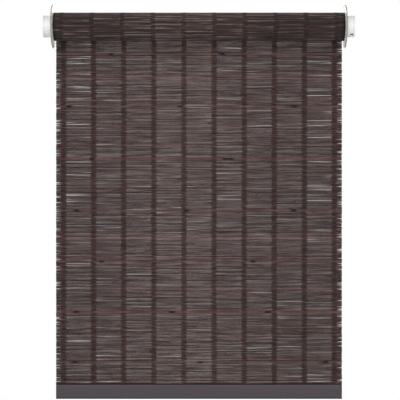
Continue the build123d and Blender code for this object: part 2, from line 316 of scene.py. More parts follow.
@dataclass(frozen=True)
class SpunWarp(Finish):
    """Spun cotton thread, dyed dark brown: matt, with plies that catch the light and a slight fuzz."""

    name: str = "spun_cotton_dyed_brown"
    slot: str = "warp"
    ply_mm: float = 0.6
    dark: str = "#1d1513"
    light: str = "#493833"
    roughness: float = 0.9
    gloss: float = 0.15
    fuzz: float = 0.05
    relief: float = 0.5
    relief_mm: float = 0.15

    def shade(self, tree: bpy.types.NodeTree, surface: bpy.types.Node) -> None:
        """Varies the thread's colour and relief at the size of its plies.

        Args:
            tree: the material's node tree.
            surface: its principled shader.
        """
        plies = grains(tree, self.ply_mm, 4.0)
        cell = add_node(tree, "ShaderNodeAttribute", {"attribute_name": "tone"})
        shade = add_node(
            tree, "ShaderNodeMath", {"operation": "ADD", "use_clamp": True},
            {0: plies.outputs["Fac"], 1: cell.outputs["Fac"]},
        )
        dye = add_node(tree, "ShaderNodeValToRGB", {}, {"Fac": shade.outputs["Value"]})
        set_ramp(dye, [(0.55, self.dark), (1.0, self.light)])
        relief = add_node(
            tree, "ShaderNodeBump", {},
            {"Height": plies.outputs["Fac"], "Strength": self.relief, "Distance": self.relief_mm * MM},
        )
        set_inputs(tree, surface, {
            "Base Color": dye.outputs["Color"],
            "Normal": relief.outputs["Normal"],
            "Roughness": self.roughness,
            "Specular IOR Level": self.gloss,
            "Sheen Weight": self.fuzz,
            "Sheen Roughness": 0.5,
        })


@dataclass(frozen=True)
class MouldedPlastic(Finish):
    """Injection-moulded plastic: even colour, a soft gloss and the faint orange peel of its mould."""

    name: str = "acetal_moulded_white"
    slot: str = "white_plastic"
    colour: str = "#f4f4f5"
    shadow: str = "#eeeff1"
    roughness: float = 0.34
    mottle_mm: float = 6.0
    peel_mm: float = 0.8
    glow: float = 0.0
    glow_depth_mm: float = 3.0
    groove_places_mm: tuple[float, ...] = ()
    groove_half_mm: float = 0.5
    groove_painted_shade: str = "#b4b6ba"
    relief: float = 0.12
    relief_mm: float = 0.05

    def shade(self, tree: bpy.types.NodeTree, surface: bpy.types.Node) -> None:
        """Mottles the colour a little and adds the mould's relief.

        Args:
            tree: the material's node tree.
            surface: its principled shader.
        """
        mottle = grains(tree, self.mottle_mm)
        tint = add_node(tree, "ShaderNodeValToRGB", {}, {"Fac": mottle.outputs["Fac"]})
        set_ramp(tint, [(0.35, self.shadow), (0.65, self.colour)])
        peel = grains(tree, self.peel_mm)
        relief = add_node(
            tree, "ShaderNodeBump", {},
            {"Height": peel.outputs["Fac"], "Strength": self.relief, "Distance": self.relief_mm * MM},
        )
        colour = tint.outputs["Color"]
        if self.groove_places_mm:
            colour = self.grooved(tree, colour)
        set_inputs(tree, surface, {
            "Base Color": colour,
            "Normal": relief.outputs["Normal"],
            "Roughness": self.roughness,
            "IOR": 1.48,
            "Subsurface Weight": self.glow,
            "Subsurface Radius": (1.0, 1.0, 1.0),
            "Subsurface Scale": self.glow_depth_mm * MM,
        })

    def grooved(self, tree: bpy.types.NodeTree, colour: bpy.types.NodeSocket) -> bpy.types.NodeSocket:
        """Paints shade into the fine rings that the mould leaves round a hub, at fixed places along the
        roller.

        Args:
            tree: the material's node tree.
            colour: the plastic's colour.

        Returns:
            The colour with its rings.
        """
        place = add_node(tree, "ShaderNodeTexCoord")
        parts = add_node(tree, "ShaderNodeSeparateXYZ", {}, {"Vector": place.outputs["Object"]})
        for centre in self.groove_places_mm:
            near = add_node(
                tree, "ShaderNodeMath", {"operation": "COMPARE"},
                {0: parts.outputs["X"], 1: centre * MM, 2: self.groove_half_mm * MM},
            )
            ringed = add_node(
                tree, "ShaderNodeMix", {"data_type": "RGBA"},
                {"Factor": near.outputs["Value"], 6: colour, 7: linear(self.groove_painted_shade)},
            )
            colour = ringed.outputs[2]
        return colour


@dataclass(frozen=True)
class ClearPlastic(Finish):
    """Clear polystyrene, moulded and finely scuffed.

    The eye sees a pale hazy face that lets some light through, and an olive-grey rim, where it looks
    along the sheet.
    """

    name: str = "polystyrene_moulded_clear"
    slot: str = "clear_plastic"
    tint: str = "#eae8da"
    edge_tint: str = "#837e6d"
    edge_start_mm: float = 44.2
    edge_full_mm: float = 44.7
    depth_tint: str = "#b9b49c"
    density: float = 20.0
    scuff_mm: float = 4.0
    clearness: float = 0.2
    haze: float = 0.8
    glow_mm: float = 9.0
    gloss: float = 0.25
    smoothest: float = 0.3
    roughest: float = 0.45

    def shade(self, tree: bpy.types.NodeTree, surface: bpy.types.Node) -> None:
        """Makes the face pale and hazy, the rim darker, and the depth of the plastic tinted.

        Args:
            tree: the material's node tree.
            surface: its principled shader.
        """
        scuffs = grains(tree, self.scuff_mm, 5.0)
        gloss = add_node(
            tree, "ShaderNodeMapRange", {},
            {
                "Value": scuffs.outputs["Fac"],
                "From Min": 0.4,
                "From Max": 0.7,
                "To Min": self.smoothest,
                "To Max": self.roughest,
            },
        )
        tree.links.new(gloss.outputs["Result"], surface.inputs["Roughness"])
        place = add_node(tree, "ShaderNodeTexCoord")
        across = add_node(
            tree, "ShaderNodeVectorMath", {"operation": "MULTIPLY"},
            {0: place.outputs["Object"], 1: (0.0, 1.0, 1.0)},
        )
        radius = add_node(
            tree, "ShaderNodeVectorMath", {"operation": "LENGTH"}, {0: across.outputs["Vector"]}
        )
        edge = add_node(
            tree, "ShaderNodeMapRange", {},
            {
                "Value": radius.outputs["Value"],
                "From Min": self.edge_start_mm * MM,
                "From Max": self.edge_full_mm * MM,
            },
        )
        colour = add_node(
            tree, "ShaderNodeMix", {"data_type": "RGBA"},
            {"Factor": edge.outputs["Result"], 6: linear(self.tint), 7: linear(self.edge_tint)},
        )
        set_inputs(tree, surface, {
            "Base Color": colour.outputs[2],
            "Transmission Weight": self.clearness,
            "Subsurface Weight": 1.0,
            "Subsurface Radius": (1.0, 1.0, 1.0),
            "Subsurface Scale": self.glow_mm * MM,
            "Specular IOR Level": self.gloss,
            "Sheen Weight": self.haze,
            "Sheen Roughness": 0.3,
            "IOR": 1.49,
        })
        depth = add_node(
            tree, "ShaderNodeVolumeAbsorption", {},
            {"Color": linear(self.depth_tint), "Density": self.density},
        )
        output = tree.nodes["Material Output"]
        tree.links.new(depth.outputs["Volume"], output.inputs["Volume"])


@dataclass(frozen=True)
class DrawnMetal(Finish):
    """Extruded or drawn metal: a satin skin with fine die lines along its length."""

    name: str = "aluminium_extruded_mill"
    slot: str = "tube_metal"
    colour: str = "#c4c6c8"
    metallic: float = 1.0
    roughness: float = 0.32
    line_length_mm: float = 180.0
    line_width_mm: float = 0.5
    line_depth: float = 0.2

    def shade(self, tree: bpy.types.NodeTree, surface: bpy.types.Node) -> None:
        """Draws the die lines in the gloss and in the relief.

        Args:
            tree: the material's node tree.
            surface: its principled shader.
        """
        lines = streaks(tree, self.line_length_mm, self.line_width_mm, 2.0)
        gloss = add_node(
            tree, "ShaderNodeMapRange", {},
            {
                "Value": lines.outputs["Fac"],
                "From Min": 0.3,
                "From Max": 0.7,
                "To Min": self.roughness - 0.06,
                "To Max": self.roughness + 0.1,
            },
        )
        relief = add_node(
            tree, "ShaderNodeBump", {},
            {"Height": lines.outputs["Fac"], "Strength": self.line_depth, "Distance": 0.05 * MM},
        )
        set_inputs(tree, surface, {
            "Roughness": gloss.outputs["Result"],
            "Normal": relief.outputs["Normal"],
            "Base Color": linear(self.colour),
            "Metallic": self.metallic,
        })


@dataclass(frozen=True)
class RailCoat(Finish):
    """Aluminium extrusion under a dark mauve-grey powder coat.

    The eye sees a matt, even coat with faint long streaks, a painted highlight along its top edge and painted
    shade along its foot. The coat's real speckle is about 0.2 mm, too fine to show, so it is drawn coarser.
    """

    name: str = "aluminium_powder_coated_mauve_grey"
    slot: str = "rail_metal"
    colour: str = "#413a3f"
    lighter: str = "#453e43"
    speckle_mm: float = 1.2
    streak_length_mm: float = 220.0
    streak_width_mm: float = 4.0
    roughness: float = 0.5
    gloss: float = 0.3
    # Painted highlight along the top edge and painted shade along the foot: height of each edge line, how far
    # it reaches to either side in mm, and its colour.
    edges: tuple[tuple[float, float, str], ...] = ((-749.6, 1.4, "#4f474c"), (-778.6, 2.9, "#2a2528"))
    relief: float = 0.15
    relief_mm: float = 0.05

    def shade(self, tree: bpy.types.NodeTree, surface: bpy.types.Node) -> None:
        """Lays faint streaks over the coat's colour, paints the top edge's highlight and the foot's shade,
        and puts its speckle in the relief.

        Args:
            tree: the material's node tree.
            surface: its principled shader.
        """
        runs = streaks(tree, self.streak_length_mm, self.streak_width_mm, 2.0)
        coat = add_node(tree, "ShaderNodeValToRGB", {}, {"Fac": runs.outputs["Fac"]})
        set_ramp(coat, [(0.35, self.colour), (0.7, self.lighter)])
        speckle = grains(tree, self.speckle_mm)
        relief = add_node(
            tree, "ShaderNodeBump", {},
            {"Height": speckle.outputs["Fac"], "Strength": self.relief, "Distance": self.relief_mm * MM},
        )
        place = add_node(tree, "ShaderNodeTexCoord")
        parts = add_node(tree, "ShaderNodeSeparateXYZ", {}, {"Vector": place.outputs["Object"]})
        colour = coat.outputs["Color"]
        # Paints the highlight along the top edge and the shade along the foot into the coat's colour.
        for level, reach, shade in self.edges:
            near = add_node(
                tree, "ShaderNodeMath", {"operation": "COMPARE"},
                {0: parts.outputs["Z"], 1: level * MM, 2: reach * MM},
            )
            with_painted_edges = add_node(
                tree, "ShaderNodeMix", {"data_type": "RGBA"},
                {"Factor": near.outputs["Value"], 6: colour, 7: linear(shade)},
            )
            colour = with_painted_edges.outputs[2]
        set_inputs(tree, surface, {
            "Base Color": colour,
            "Normal": relief.outputs["Normal"],
            "Roughness": self.roughness,
            "Specular IOR Level": self.gloss,
        })


REED = StainedReed()
WARP = SpunWarp()
# Acetal: an opaque, slightly waxy white.
WHITE_PLASTIC = MouldedPlastic()
# The same acetal in the hubs' thin walls, which light enters a little, with a fine ring near each end painted
# darker as a groove's shade.
HUB_PLASTIC = MouldedPlastic(
    "acetal_moulded_white_ringed", glow=0.35, glow_depth_mm=4.0, groove_places_mm=(3.6, 643.4)
)
# Nylon: an even mid grey with a soft sheen.
GREY_NYLON = MouldedPlastic("nylon_moulded_grey", "grey_plastic", "#8a8c8e", "#808284", 0.42)
# The same in charcoal, a little darker than the rail that its caps close.
DARK_NYLON = MouldedPlastic("nylon_moulded_charcoal", "dark_plastic", "#312c2f", "#2b2629", 0.45)
CLEAR_PLASTIC = ClearPlastic()
# Mill-finish aluminium: pale, satin, with long die lines.
TUBE_METAL = DrawnMetal()
# Drawn steel wire: darker and brighter in its glints, with short marks of the die.
SPRING_STEEL = DrawnMetal("spring_steel_drawn", "spring_steel", "#9a9ca0", 1.0, 0.28, 20.0, 0.3)
RAIL_COAT = RailCoat()


@dataclass(frozen=True)
class Shade:
    """What the reed finish reads at a point: lightness, cast from green (0) to red (1), and knot."""

    tone: float = 0.5
    blush: float = 0.5
    knot: float = 0.0


@dataclass
class MeshDraft:
    """Points, faces and shades that are gathered before they become one mesh."""

    points: list[Point] = field(default_factory=list)
    faces: list[tuple[int, ...]] = field(default_factory=list)
    shades: list[Shade] = field(default_factory=list)

    def add_bar(self, rings: list[list[Point]], shades: list[Shade]) -> None:
        """Adds a closed bar through rings of points, with flat ends.

        Args:
            rings: closed loops with the same number of points, in order along the bar.
            shades: one shade for each ring.
        """
        start = len(self.points)
        count = len(rings[0])
        for ring, shade in zip(rings, shades):
            self.points.extend(ring)
            self.shades.extend([shade] * count)
        for step in range(len(rings) - 1):
            low = start + step * count
            for side in range(count):
                across = (side + 1) % count
                self.faces.append((low + side, low + across, low + count + across, low + count + side))
        last = start + (len(rings) - 1) * count
        self.faces.append(tuple(range(start, start + count))[::-1])
        self.faces.append(tuple(range(last, last + count)))

    def piece(self, name: str, finish: Finish, smooth: bool = True) -> bpy.types.Object:
        """Makes the mesh and its object.

        Args:
            name: the piece's name.
            finish: what it is dressed with.
            smooth: whether its faces blend into each other.

        Returns:
            The new object, linked to the scene.
        """
        mesh = bpy.data.meshes.new(name)
        mesh.from_pydata(self.points, [], self.faces)
        mesh.polygons.foreach_set("use_smooth", [smooth] * len(mesh.polygons))
        if self.shades:
            for trait in ("tone", "blush", "knot"):
                layer = mesh.attributes.new(trait, "FLOAT", "POINT")
                layer.data.foreach_set("value", [getattr(shade, trait) for shade in self.shades])
        mesh.update()
        made = bpy.data.objects.new(name, mesh)
        bpy.context.scene.collection.objects.link(made)
        finish.dress(made)
        log.info("%s: %d faces", name, len(mesh.polygons))
        return made


@dataclass
class MatPath:
    """The line that the mat's middle follows: along > 0 winds round the roller, along < 0 hangs down."""

    middle_radius: float
    turn_pitch: float
    turns: float
    # Slack of the outermost turn at each quarter, from the window side over the top.
    slack_mm: tuple[float, ...] = (0.0, -0.6, 1.1, 2.0, 0.0)
    tightness_mm: float = 1.6

    def angle(self, along: float) -> float:
        """Finds how far round the roll the mat has wound.

        Args:
            along: length of mat above the line where it leaves the roll.

        Returns:
            Angle from the window side upwards, in radians.
        """
        shrink = self.turn_pitch / (4 * math.pi)
        root = math.sqrt(max(self.middle_radius ** 2 - 4 * shrink * along, 0.0))
        return (self.middle_radius - root) / (2 * shrink)

    def length(self, turns: float) -> float:
        """Length of mat in a number of turns from the outside."""
        angle = 2 * math.pi * turns
        return self.middle_radius * angle - self.turn_pitch * angle ** 2 / (4 * math.pi)

    def slack(self, angle: float) -> float:
        """Finds how far a turn lies off the spiral: the outermost sags below, the inner ones are wound tight.

        Args:
            angle: angle round the roll from where the mat leaves it.

        Returns:
            The distance, outwards.
        """
        quarter = angle / (math.pi / 2)
        inner_start = len(self.slack_mm) - 1
        if quarter >= inner_start:
            wound_in = (quarter - inner_start) / (4 * self.turns - inner_start)
            return -self.tightness_mm * MM * (1 - wound_in)
        before, after = self.slack_mm[int(quarter)], self.slack_mm[int(quarter) + 1]
        blend = 0.5 - 0.5 * math.cos(math.pi * (quarter - int(quarter)))
        return (before + (after - before) * blend) * MM

    def point(self, x: float, along: float, out: float) -> Point:
        """Place of a point of the mat.

        Args:
            x: place along the roller.
            along: length of mat above the line where it leaves the roll.
            out: distance from the mat's middle, away from the roller's axis.

        Returns:
            The point in the part's frame.
        """
        if along <= 0:
            return (x, self.middle_radius + out, along)
        angle = self.angle(along)
        radius = self.middle_radius - self.turn_pitch * angle / (2 * math.pi) + self.slack(angle) + out
        return (x, radius * math.cos(angle), radius * math.sin(angle))


class ReedKind(Enum):
    """The kinds of reed in the weave."""

    PLAIN = "plain"
    SLAT = "slat"
    FINE_RED = "fine red"


@dataclass(frozen=True)
class Cast:
    """Range of lightness and the redness of a kind of reed."""

    tones: tuple[float, float]
    blush: float


# Casts of the reeds that differ from the plain ones, by kind and by whether they lie on the roll.
CASTS = {
    (ReedKind.SLAT, True): Cast((0.36, 0.42), 0.62),
    (ReedKind.SLAT, False): Cast((0.56, 0.64), 0.72),
    (ReedKind.FINE_RED, True): Cast((0.34, 0.42), 0.7),
    (ReedKind.FINE_RED, False): Cast((0.5, 0.6), 0.84),
}


@dataclass
class Reed:
    """One reed or slat of the mat, from its upper to its lower edge along the mat's path."""

    top: float
    foot: float
    kind: ReedKind
    tone: float
    blush: float
    thickness: float
    left_end: float
    right_end: float
    bay_tones: list[float]
    bay_tilts: list[float]

    @property
    def middle(self) -> float:
        """Middle of the reed along the mat's path."""
        return (self.top + self.foot) / 2


@dataclass(frozen=True)
class Station:
    """A place along a reed: its bay, its share of the bay's bow, and which of its openings lies there."""

    x: float
    bay: int
    lean: float
    opening: int | None


@dataclass
class Weave:
    """Works out every reed of the mat, how it bows between the warp bands, and where slits open."""

    left: float
    right: float
    foot: float
    rail_top: float
    path: MatPath
    thickness: float = 2.0 * MM
    roll_thickness: float = 1.6 * MM
    band_count: int = 10
    band_width: float = 9.0 * MM
    band_margin: float = 15.2 * MM
    reed_pitch: float = 2.4 * MM
    slat_height: float = 3.8 * MM
    roll_slat_height: float = 2.4 * MM
    fine_height: float = 1.2 * MM
    fine_spacing: float = 7.6 * MM
    first_slat: float = 54.0 * MM
    slat_spacing: float = 108.0 * MM
    slat_drift: float = 5.0 * MM
    slats_on_roll: int = 4
    roll_slat: float = 40.0 * MM
    bow_size: float = 0.55 * MM
    skew_size: float = 0.2 * MM
    bow_memory: float = 0.9
    bow_fade: float = 12.0 * MM
    roll_calm: float = 0.5
    least_height: float = 0.3
    bay_places: tuple[float, ...] = (0.07, 0.5, 0.93)
    gap_least: float = 0.03 * MM
    gap_size: float = 0.038 * MM
    slit_range: tuple[float, float] = (0.15 * MM, 0.42 * MM)
    slit_growth: float = 1.35
    slit_chance_outer: float = 0.09
    slit_chance_inner: float = 0.035
    slit_shapes: tuple[tuple[float, ...], ...] = (
        (0.3, 1.0, 0.3), (0.8, 1.0, 0.7), (1.0, 0.7, 0.0), (0.0, 0.7, 1.0), (1.0, 0.1, 0.0), (0.0, 0.1, 1.0)
    )
    tip_range: tuple[float, float] = (0.0, 0.16 * MM)
    splay_range: tuple[float, float] = (0.4 * MM, 1.2 * MM)
    splay_chance: float = 0.27
    end_wander: float = 0.8 * MM
    end_reach: float = 0.8 * MM
    roll_neatness: float = 0.6
    roll_reach_left: float = 1.2 * MM
    roll_reach_right: float = 1.8 * MM
    still_part: float = 706.6 * MM
    cut_gap: float = 0.1 * MM
    seam_height: float = 1.2 * MM
    seam_reach: float = 1.6 * MM
    # Painted shadow: the reed just above the rail is made near black, standing in for the shade where the mat
    # enters the rail's slot.
    slot_shadow_tone: float = -0.6
    tip_length: float = 4.0 * MM
    tip_lean: float = 0.6
    rail_trim: float = 2.2 * MM
    height_shares: tuple[float, float] = (0.72, 1.3)
    thickness_shares: tuple[float, float] = (0.68, 0.98)
    hanging_tone: float = 0.39
    wound_tone: float = 0.25
    reed_spread: float = 0.03
    dark_reed_tone: float = -0.4
    dark_reed_chance: float = 0.03
    hanging_blush: float = 0.5
    wound_blush: float = 0.36
    blush_spread: float = 0.08
    blush_limits: tuple[float, float] = (0.1, 0.7)
    bay_spread: float = 0.12
    # Painted shade and painted light of a bay where a reed's skin turns away from the light or to it, and how
    # often each comes.
    shaded_bay_tone: float = -0.38
    shaded_bay_chance: float = 0.05
    bright_bay_tone: float = 0.3
    bright_bay_chance: float = 0.03
    restlessness: float = 0.9
    # Painted light and shade across a bay, as if the reed tilted towards the light or away from it.
    tilt_size: float = 0.15
    roll_contrast: float = 1.4
    # Painted light on the middle bays: how much paler they are, and how far it spreads in bays.
    painted_middle_lightness: float = 0.17
    middle_spread: float = 1.9
    seed: int = 11
    choice: random.Random = field(init=False)
    last_draws: dict[int, float] = field(init=False, default_factory=dict)
    bands: list[float] = field(init=False)
    slats: list[float] = field(init=False)
    reeds: list[Reed] = field(init=False)
    bows: list[list[float]] = field(init=False)
    skews: list[list[float]] = field(init=False)
    gaps: list[list[tuple[float, ...]]] = field(init=False)
    split_row: int = field(init=False)

    def __post_init__(self) -> None:
        """Lays out the bands, slats and reeds, then their bows and slits."""
        self.choice = random.Random(self.seed)
        step = (self.right - self.left - 2 * self.band_margin) / (self.band_count - 1)
        self.bands = [self.left + self.band_margin + index * step for index in range(self.band_count)]
        self.slats = self.slat_levels()
        self.reeds = self.lay_reeds()
        self.shape_bays()

    def slat_levels(self) -> list[float]:
        """Places the slats along the path.

        Returns:
            Middle of each slat, from the innermost on the roll to the lowest.
        """
        wound = [self.roll_slat + index * self.slat_spacing for index in range(self.slats_on_roll)]
        count = int((-self.foot - self.first_slat) / self.slat_spacing) + 1
        hanging = [
            -(
                self.first_slat
                + index * self.slat_spacing
                + self.slat_drift * math.sin(math.pi * index / (count - 1))
            )
            for index in range(count)
        ]
        return wound[::-1] + hanging

    def marks(self) -> list[tuple[float, float, ReedKind]]:
        """Places the slats and, halfway between two slats, a pair of fine red reeds.

        Returns:
            Middle, height and kind of each, downwards.
        """
        found = [
            (level, self.roll_slat_height if level > 0 else self.slat_height, ReedKind.SLAT)
            for level in self.slats
        ]
        for upper, lower in zip(self.slats, self.slats[1:]):
            for side in (0.5, -0.5):
                found.append(
                    ((upper + lower) / 2 + side * self.fine_spacing, self.fine_height, ReedKind.FINE_RED)
                )
        return sorted(found, key=lambda mark: -mark[0])

    def lay_reeds(self) -> list[Reed]:
        """Fills the mat with reeds of uneven height between the slats and fine reeds.

        Returns:
            Every reed, downwards.
        """
        reeds: list[Reed] = []
        top = self.path.length(self.path.turns)
        seam = self.rail_top + self.seam_height
        ends = [(level, 0.0, ReedKind.PLAIN) for level in (seam, self.rail_top, self.foot)]
        for middle, height, kind in self.marks() + ends:
            bottom = middle + height / 2
            if bottom >= top:
                continue
            count = max(1, round((top - bottom) / self.reed_pitch))
            weights = [self.choice.uniform(*self.height_shares) for _ in range(count)]
            scale = (top - bottom) / sum(weights)
            for weight in weights:
                reeds.append(self.new_reed(top, top - weight * scale, ReedKind.PLAIN))
                top = reeds[-1].foot
            if height:
                reeds.append(self.new_reed(top, top - height, kind))
                top = reeds[-1].foot
        return reeds

    def new_reed(self, top: float, foot: float, kind: ReedKind) -> Reed:
        """Makes one reed with its own tone, cast, thickness, ends and change of tone in each bay.

        Args:
            top: upper edge along the path.
            foot: lower edge along the path.
            kind: kind of reed.

        Returns:
            The reed.
        """
        draw = self.choice
        wound = (top + foot) / 2 > 0
        is_dark = draw.random() < self.dark_reed_chance
        fresh = self.dark_reed_tone if is_dark else draw.gauss(0, self.reed_spread)
        tone = (self.wound_tone if wound else self.hanging_tone) + self.restless(-1, fresh)
        # The reed just above the rail gets the painted slot shadow.
        if self.rail_top < (top + foot) / 2 < self.rail_top + self.seam_height:
            tone = self.slot_shadow_tone
        blush_middle = self.wound_blush if wound else self.hanging_blush
        least, most = self.blush_limits
        blush = min(most, max(least, draw.gauss(blush_middle, self.blush_spread)))
        if kind is not ReedKind.PLAIN:
            cast = CASTS[kind, wound]
            tone, blush = draw.uniform(*cast.tones), cast.blush
        thickness = self.roll_thickness if wound else self.thickness * draw.uniform(*self.thickness_shares)
        wander = self.end_wander * (self.roll_neatness if wound else 1.0)
        left_end = self.left - (self.roll_reach_left if wound else self.end_reach) + draw.uniform(0, wander)
        reach_right = self.roll_reach_right if wound else self.end_reach
        right_end = self.right + reach_right - draw.uniform(0, wander)
        if top <= self.rail_top:
            left_end = self.left + self.rail_trim
            right_end = self.right - self.rail_trim
        contrast = 0.0 if tone == self.slot_shadow_tone else self.roll_contrast if wound else 1.0
        bays = range(self.band_count + 1)
        tones = [contrast * (self.bay_tone(bay) + self.painted_middle_light(bay)) for bay in bays]
        tilts = [contrast * draw.gauss(0, self.tilt_size) for _ in bays]
        return Reed(top, foot, kind, tone, blush, thickness, left_end, right_end, tones, tilts)

    def restless(self, line: int, fresh: float) -> float:
        """Leans a change away from the one before, so that neighbours differ and no broad stripe forms.

        Args:
            line: a bay's number, or -1 for whole reeds.
            fresh: the change as drawn.

        Returns:
            The change of tone.
        """
        change = fresh - self.restlessness * self.last_draws.get(line, 0.0)
        self.last_draws[line] = fresh
        return change

    def bay_tone(self, bay: int) -> float:
        """Draws the change of a reed's tone in one bay: painted light and shade where its skin turns to the
        light or away from it.

        Args:
            bay: the bay's number, from 0 left of the first band.

        Returns:
            The change of tone.
        """
        chance = self.choice.random()
        fresh = self.choice.gauss(0, self.bay_spread)
        if chance < self.shaded_bay_chance:
            fresh = self.shaded_bay_tone
        elif chance < self.shaded_bay_chance + self.bright_bay_chance:
            fresh = self.bright_bay_tone
        return self.restless(bay, fresh)

    def painted_middle_light(self, bay: int) -> float:
        """Painted light: how much paler the reeds are made in the bays near the middle of the mat, where the
        light falls brightest.
        """
        middle_bay = self.band_count / 2 - 0.5
        return self.painted_middle_lightness * math.exp(-(((bay - middle_bay) / self.middle_spread) ** 2))

    def shape_bays(self) -> None:
        """Draws how far each line between two reeds bows in each bay, and how wide a slit opens on it."""
        draw = self.choice
        lines = [reed.top for reed in self.reeds] + [self.reeds[-1].foot]
        self.split_row = min(range(len(lines)), key=lambda row: abs(lines[row] + self.still_part))
        fresh = math.sqrt(1 - self.bow_memory ** 2)
        wander = [0.0] * (self.band_count + 1)
        drift = [0.0] * (self.band_count + 1)
        self.bows, self.skews, self.gaps = [], [], []
        for level in lines:
            nearest = min(abs(level - slat) for slat in self.slats) - self.slat_height / 2
            calm = min(1.0, max(0.0, nearest / self.bow_fade)) * (self.roll_calm if level > 0 else 1.0)
            bows, skews, gaps = [], [], []
            for bay in range(self.band_count + 1):
                wander[bay] = self.bow_memory * wander[bay] + fresh * draw.gauss(0, self.bow_size)
                drift[bay] = self.bow_memory * drift[bay] + fresh * draw.gauss(0, self.skew_size)
                opening = self.openings(bay, level > 0)
                if abs(level - self.rail_top) < self.seam_reach:
                    calm, opening = 0.0, (0.0,) * len(self.bay_places)
                bows.append(wander[bay] * calm)
                skews.append(drift[bay] * calm)
                gaps.append(opening)
            self.bows.append(bows)
            self.skews.append(skews)
            self.gaps.append(gaps)

    def openings(self, bay: int, wound: bool) -> tuple[float, ...]:
        """Draws how wide the line between two reeds opens in a bay.

        Args:
            bay: the bay's number.
            wound: whether the line lies on the roll.

        Returns:
            Widths at the places of a bay, or from the tip inwards in an end bay.
        """
        draw = self.choice
        if bay in (0, self.band_count):
            splayed = draw.random() < self.splay_chance and not wound
            tip = draw.uniform(*(self.splay_range if splayed else self.tip_range))
            return (tip, self.tip_lean * tip, 0.0)
        widths = [self.gap_least + abs(draw.gauss(0, self.gap_size)) for _ in self.bay_places]
        outer = bay in (1, self.band_count - 1)
        chance = self.slit_chance_outer if outer else self.slit_chance_inner
        if draw.random() < chance and not wound:
            size = draw.uniform(*self.slit_range) * (self.slit_growth if outer else 1.0)
            shape = draw.choice(self.slit_shapes)
            widths = [width + size * share for width, share in zip(widths, shape)]
        return tuple(widths)

    def stations(self, reed: Reed) -> list[Station]:
        """Places the stations along a reed: its tips, the edges of every band and three places in every bay.

        Args:
            reed: the reed.

        Returns:
            The stations from left to right.
        """
        half = self.band_width / 2
        inner_left, inner_right = reed.left_end + self.tip_length, reed.right_end - self.tip_length
        found = [Station(reed.left_end, 0, 1.0, 0), Station(inner_left, 0, self.tip_lean, 1)]
        for index, band in enumerate(self.bands):
            found.append(Station(band - half, index, 0.0, None))
            found.append(Station(band + half, index + 1, 0.0, None))
            if index + 1 < self.band_count:
                start, end = band + half, self.bands[index + 1] - half
                for number, share in enumerate(self.bay_places):
                    x = start + share * (end - start)
                    found.append(Station(x, index + 1, math.sin(math.pi * share), number))
        found.append(Station(inner_right, self.band_count, self.tip_lean, 1))
        found.append(Station(reed.right_end, self.band_count, 1.0, 0))
        return found

    def line(self, row: int, station: Station) -> tuple[float, float]:
        """Finds the shape of the line above a row.

        Args:
            row: the row's number.
            station: place along the reed.

        Returns:
            The line's bow and half of its opening.
        """
        if row == self.split_row:
            return 0.0, self.cut_gap / 2
        if station.opening is None:
            return 0.0, 0.0
        bow = station.lean * self.bows[row][station.bay]
        if 0 < station.bay < self.band_count:
            bow += (station.opening - 1) * self.skews[row][station.bay]
        return bow, self.gaps[row][station.bay][station.opening] / 2

    def edges(self, row: int, station: Station) -> tuple[float, float]:
        """Finds a reed's edges at a station, and keeps it from getting too thin.

        Args:
            row: the reed's row.
            station: place along the reed.

        Returns:
            Upper and lower edge along the mat's path.
        """
        reed = self.reeds[row]
        upper_bow, upper_gap = self.line(row, station)
        lower_bow, lower_gap = self.line(row + 1, station)
        upper, lower = reed.top + upper_bow - upper_gap, reed.foot + lower_bow + lower_gap
        least = self.least_height * (reed.top - reed.foot)
        if upper - lower < least:
            middle = (upper + lower) / 2
            upper, lower = middle + least / 2, middle - least / 2
        return upper, lower

    def rows(self, lower: float, upper: float) -> list[int]:
        """Rows whose middle lies between two levels of the path."""
        return [row for row, reed in enumerate(self.reeds) if lower <= reed.middle < upper]


